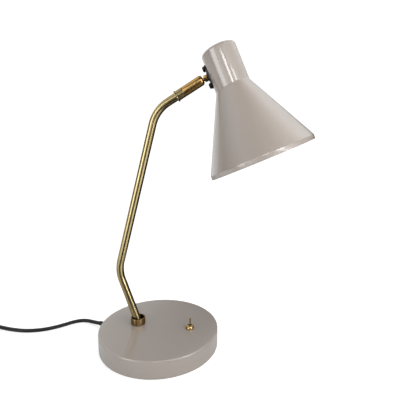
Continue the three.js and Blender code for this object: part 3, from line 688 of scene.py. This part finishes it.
# ---------------------------------------------------------------- shade
crown_corner = Sizes(radius=4, r=NECK.radius - 4, z=25.1, start=72)
shade_profile = [(0, 31.5), (5, 31.42), (10, 31.05), (15, 30.3), (19, 29.4)]
shade_profile += arc(crown_corner.r, crown_corner.z, crown_corner.radius, crown_corner.start, 0, 8)
shade_profile += rounded([
    (NECK.radius, 10), (NECK.radius, NECK.end, 0.8), (CONE.radius, CONE.end, 0.6), (CONE.radius, RIM, 0.6),
    (CONE.radius - SHEET, RIM, 0.5), (CONE.radius - SHEET, CONE.end - 0.3, 0.8),
    (NECK.radius - SHEET, NECK.end - 0.4, 1.4), (NECK.radius - SHEET, 10),
], 6)[1:-1]
shade_profile += arc(crown_corner.r, crown_corner.z, crown_corner.radius - SHEET, 0, crown_corner.start, 6)
shade_profile += [(15, 29.1), (8, 30.0), (0, 30.3)]


def evened(profile, longest=9.0):
    """Extra points along the long straight stretches of a profile."""
    out = [profile[0]]
    for a, b in zip(profile, profile[1:]):
        count = max(1, math.ceil(math.dist(a, b) / longest))
        for k in range(1, count + 1):
            out.append((a[0] + (b[0] - a[0]) * k / count, a[1] + (b[1] - a[1]) * k / count))
    return out


shade = lathe("shade_shell", evened(shade_profile), 224, shade_frame)
round_hole(shade, STUD.hole, *hole_reach, stud_frame)
piece(shade, "head", "enamel", "shade")


# ---------------------------------------------------------------- lampholder and bulb
def holder_thread(angle, radius, height):
    """A shape for lathe: a shallow thread round the lampholder's skirt."""
    depth, pitch = 0.45, 2.6
    if radius < HOLDER.radius - 0.1 or not -61 < height < -36:
        return radius
    return radius - depth * (0.5 + 0.5 * math.cos(2 * math.pi * height / pitch - angle))


top, floor_inside = HOLDER.top, HOLDER.top - 17
holder_profile = evened(rounded([
    (HOLDER.wire_hole, top + 6), (HOLDER.nipple, top + 6, 0.4), (HOLDER.nipple, top), (9, top - 0.4, 1.5),
    (12.6, top - 5, 2), (HOLDER.radius, top - 11, 1.5), (HOLDER.radius, HOLDER.mouth, 0.5),
    (HOLDER.bore, HOLDER.mouth, 0.5), (HOLDER.bore, floor_inside), (HOLDER.wire_hole, floor_inside),
], 4), 0.5)
holder = lathe("bulb_holder", holder_profile, 72, shade_frame, shape=holder_thread)
piece(holder, "head", "white_plastic", "lampholder")

throat = [(8.4, BULB.top), (9.2, -64.7), (11.2, -70.7), (14.6, -76.7)]
globe = arc(0, BULB.centre, BULB.radius, 38, -89, 40)
glass_line = smooth_line([Vector((r, z, 0)) for r, z in throat + globe], 4)
glass_profile = [(0, BULB.top), (6, BULB.top)] + [(p.x, p.y) for p in glass_line]
glass_profile += [(0, BULB.centre - BULB.radius)]
glass = lathe("bulb", glass_profile, 96, shade_frame)
piece(glass, "head", "opal_glass", "bulb_glass")

# ---------------------------------------------------------------- switch
nut_foot, dome_centre = BASE.top + GAP, 29.5
nut_profile = rounded([(SWITCH.hole, nut_foot), (SWITCH.nut, nut_foot, 0.2), (SWITCH.nut, 29.4)])
nut_profile += arc(SWITCH.nut - SWITCH.dome, dome_centre, SWITCH.dome, 0, 70, 14)
nut_profile += rounded([(2.8, 33.5, 0.3), (SWITCH.hole, 31.7)])
nut = lathe("switch_nut", nut_profile, 64, switch_foot)
piece(nut, "stand", "brass_turned", "switch_dome_nut", slot="brass")

lever_profile = [(0, -1.9)] + arc(0, 0, 1.9, -80, 52, 8)
lever_profile += [(1.1, 2.2), (1.05, 5), (1.05, 9), (1.2, 11), (1.45, 12.4)] + arc(0, 12.9, 1.5, 10, 80, 6)
lever_profile += [(0, 14.4)]
lean = Matrix.Rotation(math.radians(-SWITCH.lean), 4, "X")
lever = lathe("switch_lever", lever_profile, 32, Matrix.Translation((SWITCH.x, 0, SWITCH.pivot)) @ lean)
piece(lever, "switch_toggle", "brass_aged", "toggle_lever", slot="brass")

# ---------------------------------------------------------------- cord and strain relief
piece(mains_cord, "stand", "rubber", "cord_lead", "cord_coil", "cord_tail")

relief_profile = rounded([
    (0, -4), (4.5, -4, 0.3), (4.5, -1.8), (3.8, -1.8), (3.8, 0.3), (5.6, 0.3, 0.4), (5.6, 2, 0.6),
], 3)
for ring in range(6):
    z = 3.2 + ring * 3.2
    r = 4.75 - ring * 0.13
    relief_profile += [(r - 0.45, z - 0.9), (r, z - 0.5), (r, z + 0.9), (r - 0.45, z + 1.3)]
relief_profile += rounded([(3.8, 22.6), (3.8, 24, 0.3), (0, 24)], 3)
outwards = Vector((math.cos(CORD.exit_angle), math.sin(CORD.exit_angle), 0))
wall = Matrix.Translation(BASE.radius * outwards + Vector((0, 0, CORD.exit_height)))
relief_frame = wall @ Matrix.Rotation(CORD.exit_angle, 4, "Z") @ along_x
relief = lathe("strain_relief", relief_profile, 40, relief_frame)
piece(relief, "stand", "rubber", "cord_strain_relief")


# ---------------------------------------------------------------- tie
def strap_loop(name, inner, outer, low, high, width, matrix, band=0.55):
    """A flat strap closed round the coil's bundle, with its end laid over the top."""
    bm = bmesh.new()

    def outline(grow):
        corner = 3.5 + grow
        left, right, bottom, top = inner - grow, outer + grow, low - grow, high + grow
        ends = ((left, bottom), (right, bottom), (right, top), (left, top))
        return rounded([(*end, corner) for end in ends], 6)

    loops = []
    for near, far in zip(outline(0), outline(band)):
        corners = ((near, -width / 2), (far, -width / 2), (far, width / 2), (near, width / 2))
        loops.append([bm.verts.new((p[0], y, p[1])) for p, y in corners])
    for first, second in zip(loops, loops[1:] + loops[:1]):
        for k in range(4):
            n = (k + 1) % 4
            bm.faces.new([first[k], first[n], second[n], second[k]])
    tab = bmesh.ops.create_cube(bm, size=1)["verts"]
    bmesh.ops.scale(bm, verts=tab, vec=(11, width * 0.92, 0.5))
    bmesh.ops.translate(bm, verts=tab, vec=((inner + outer) / 2 + 4, 0, high + band + 0.3))
    obj = new_object(name, bm, matrix, 40)
    soften(obj, 0.15)
    return obj


tie = strap_loop("coil_strap", 18.4, 48.5, 0.65, 13.5, 9, Matrix.Translation(COIL.centre))
piece(tie, "stand", "black_plastic", "coil_tie")


# ---------------------------------------------------------------- plug
def loft(name, sections, matrix, sides=64):
    """A closed skin through superellipse sections: (x, half width, half height, squareness)."""
    bm = bmesh.new()
    rings = []
    for x, half_y, half_z, squareness in sections:
        ring = []
        for k in range(sides):
            angle = 2 * math.pi * k / sides
            c, s = math.cos(angle), math.sin(angle)
            y = half_y * math.copysign(abs(c) ** (2 / squareness), c)
            z = half_z * math.copysign(abs(s) ** (2 / squareness), s)
            ring.append(bm.verts.new((x, y, z)))
        rings.append(ring)
    for a, b in zip(rings, rings[1:]):
        for k in range(sides):
            n = (k + 1) % sides
            bm.faces.new([a[k], a[n], b[n], b[k]])
    bm.faces.new(rings[0][::-1])
    bm.faces.new(rings[-1])
    return new_object(name, bm, matrix, 40)


plug_frame = Matrix.Translation(PLUG.at)
plug_sections = [(-16, 3.6, 3.6, 2), (-15.6, 3.8, 3.8, 2)]
for ring in range(6):
    x = -13.5 + ring * 2.4
    r = 3.9 + ring * 0.12
    grooved = ((x, r), (x + 0.2, r - 0.45), (x + 0.9, r - 0.45), (x + 1.1, r + 0.05))
    plug_sections += [(place, radius, radius, 2) for place, radius in grooved]
plug_sections += [
    (1.5, 4.8, 4.7, 2), (5, 5.9, 5.3, 2.1), (9, 8.2, 5.8, 2.2), (13, 11.6, 6.3, 2.4), (16.5, 14.8, 6.6, 2.6),
    (19, 16.4, 6.8, 2.7), (21, 17.0, 6.85, 2.8), (24, PLUG.half_width, 6.9, 2.8),
    (33, PLUG.half_width, 6.9, 2.8), (33.6, 17.0, 6.7, 2.8), (PLUG.front, 16.5, 6.2, 2.8),
]
plug = loft("plug", plug_sections, plug_frame)
piece(plug, "stand", "black_plastic", "plug_body")

pin_start, pin_nose = PLUG.front + 0.1, 51.2
pin_profile = [
    (0, pin_start), (PIN.radius, pin_start), (PIN.radius, PIN.sleeve_end), (1.85, 44.0), (1.85, 44.3),
    (PIN.radius, 44.4), (PIN.radius, pin_nose),
]
pin_profile += arc(0.4, pin_nose, 1.6, 10, 80, 6) + [(0, PIN.tip)]
for which, side in (("near", -PIN.offset), ("far", PIN.offset)):
    pin = lathe(f"pin_{which}", pin_profile, 32, plug_frame @ Matrix.Translation((0, side, 0)) @ along_x)
    piece(pin, "stand", "pin_metal", f"plug_pin_{which}")
    second_look(pin, "black_plastic", lambda middle: middle.x < PLUG.at.x + PIN.sleeve_end)

# ---------------------------------------------------------------- carried-over CAD nodes
for subpart in frame["record"]["subparts"]:
    node = nodes[subpart["node"]]
    node.data.materials.clear()
    node.data.materials.append(LOOKS[subpart["material_slot"]])

# ---------------------------------------------------------------- floor
floor_look = Look("floor", Roughness=0.6, Emission_Color=(*WHITE, 1))
floor_color = floor_look.blend(floor_look.noise(3, 2), scaled(WHITE, 0.6), scaled(WHITE, 0.62))
floor_look.finish(floor_color, floor_look.spread(floor_look.noise(30), 0.55, 0.65))
floor_view = floor_look.add("LightPath").outputs["Is Camera Ray"]
floor_look.link(floor_look.spread(floor_view, 0.03, 0.6, 0, 1), floor_look.shader.inputs["Emission Strength"])


def floor_part(name, inner, outer, sides=128):
    """A flat ring of the floor, or a disc where it has no inner radius."""
    bm = bmesh.new()
    rings = []
    for radius in (inner, outer):
        angles = [2 * math.pi * k / sides for k in range(sides)]
        rings.append([(radius * math.cos(t), radius * math.sin(t), 0) for t in angles])
    edge = [bm.verts.new(place) for place in rings[1]]
    if inner:
        near = [bm.verts.new(place) for place in rings[0]]
        for k in range(sides):
            n = (k + 1) % sides
            bm.faces.new([near[k], edge[k], edge[n], near[n]])
    else:
        bm.faces.new(edge)
    part = new_object(name, bm, Matrix.Translation((0, 0, -0.2)))
    part.data.materials.append(floor_look.material)
    return part


# Gleams show the floor close to the base only, so that the brass keeps its dark lines.
FLOOR = Sizes(gleaming=160, outer=425)
floor_part("floor", 0, FLOOR.gleaming)
floor_part("floor_edge", FLOOR.gleaming, FLOOR.outer).visible_glossy = False


# ---------------------------------------------------------------- lights, in metres and degrees
def direction(azimuth, elevation):
    """A unit vector. Azimuth 0 is in front of the lamp, at -Y, and 90 is at +X."""
    a, e = math.radians(azimuth), math.radians(elevation)
    return Vector((math.sin(a) * math.cos(e), -math.cos(a) * math.cos(e), math.sin(e)))


LAMP = Vector((0.03, 0, 0.22))
HEAD = Vector((0.12, 0, 0.37))


def softbox(name, azimuth, elevation, distance, width, height, radiance, aim=LAMP, spread=180, use="all"):
    """A sheet of light that faces its aim. It fills, gleams or does both, and spread narrows its beam."""
    data = bpy.data.lights.new(name, "AREA")
    data.shape = "RECTANGLE"
    data.size, data.size_y = width, height
    data.energy = radiance * math.pi * width * height
    data.spread = math.radians(spread)
    lamp = bpy.data.objects.new(name, data)
    bpy.context.scene.collection.objects.link(lamp)
    lamp.location = aim + distance * direction(azimuth, elevation)
    lamp.rotation_euler = (aim - lamp.location).to_track_quat("-Z", "Y").to_euler()
    lamp.visible_camera = False
    lamp.visible_glossy = use != "fill"
    lamp.visible_diffuse = use != "gleam"


softbox("left box", -38, 8, 1.2, 0.5, 0.95, 3.5)
softbox("front box", 12, 22, 1.1, 0.18, 0.4, 12)
softbox("side box", 38, 20, 1.1, 0.4, 0.4, 8, HEAD, use="gleam")
softbox("lip box", 62, -2, 0.9, 0.3, 0.35, 14, HEAD, use="gleam")
softbox("head front box", 45, 5, 0.9, 0.5, 0.5, 2.9, HEAD, 110, "fill")
softbox("head side box", 75, 25, 0.9, 0.5, 0.6, 1.8, HEAD, 110, "fill")
softbox("head low box", 50, -12, 0.75, 0.4, 0.3, 0.5, HEAD, 110, "fill")
softbox("head top box", 40, 70, 0.8, 0.5, 0.5, 0.35, HEAD, 110, "fill")

world = bpy.data.worlds.new("studio")
world.use_nodes = True
bpy.context.scene.world = world
sky = world.node_tree
background = sky.nodes["Background"]
background.inputs["Color"].default_value = (*WHITE, 1)
sky_direction = sky.nodes.new("ShaderNodeTexCoord").outputs["Generated"]


def glow(azimuth, elevation, radius, strength, core=12):
    """A round patch of light in the studio, even in its core and fading from there to its radius."""
    towards = sky.nodes.new("ShaderNodeVectorMath")
    towards.operation = "DOT_PRODUCT"
    towards.inputs[1].default_value = direction(azimuth, elevation)
    sky.links.new(sky_direction, towards.inputs[0])
    fade = sky.nodes.new("ShaderNodeMapRange")
    fade.interpolation_type = "SMOOTHSTEP"
    fade.inputs["From Min"].default_value = math.cos(math.radians(radius))
    fade.inputs["From Max"].default_value = math.cos(math.radians(core))
    fade.inputs["To Max"].default_value = strength
    sky.links.new(towards.outputs["Value"], fade.inputs["Value"])
    return fade.outputs["Result"]


def sky_sum(first, second):
    made = sky.nodes.new("ShaderNodeMath")
    sky.links.new(first, made.inputs[0])
    sky.links.new(second, made.inputs[1])
    return made.outputs[0]


# Round patches of light with dark gaps between them, which the brass shows as dark lines: azimuth, elevation,
# radius and strength of each.
PATCHES = [
    (-90, -32, 42, 1.3), (-90, 50, 42, 1.15), (60, -27, 26, 2.2), (-135, 12, 38, 1.0), (150, 50, 42, 1.0),
    (90, 50, 42, 0.65),
]
VIEW_STRENGTH = 1.1
studio = glow(-30, 0, 30, 1.5)
for patch in PATCHES:
    studio = sky_sum(studio, glow(*patch))
view_path = sky.nodes.new("ShaderNodeLightPath")
plain = sky.nodes.new("ShaderNodeMix")  # the camera itself sees an even white
plain.inputs["B"].default_value = VIEW_STRENGTH
sky.links.new(view_path.outputs["Is Camera Ray"], plain.inputs["Factor"])
sky.links.new(studio, plain.inputs["A"])
sky.links.new(plain.outputs["Result"], background.inputs["Strength"])

settings = bpy.context.scene.view_settings
settings.view_transform = "Standard"
settings.look = "None"
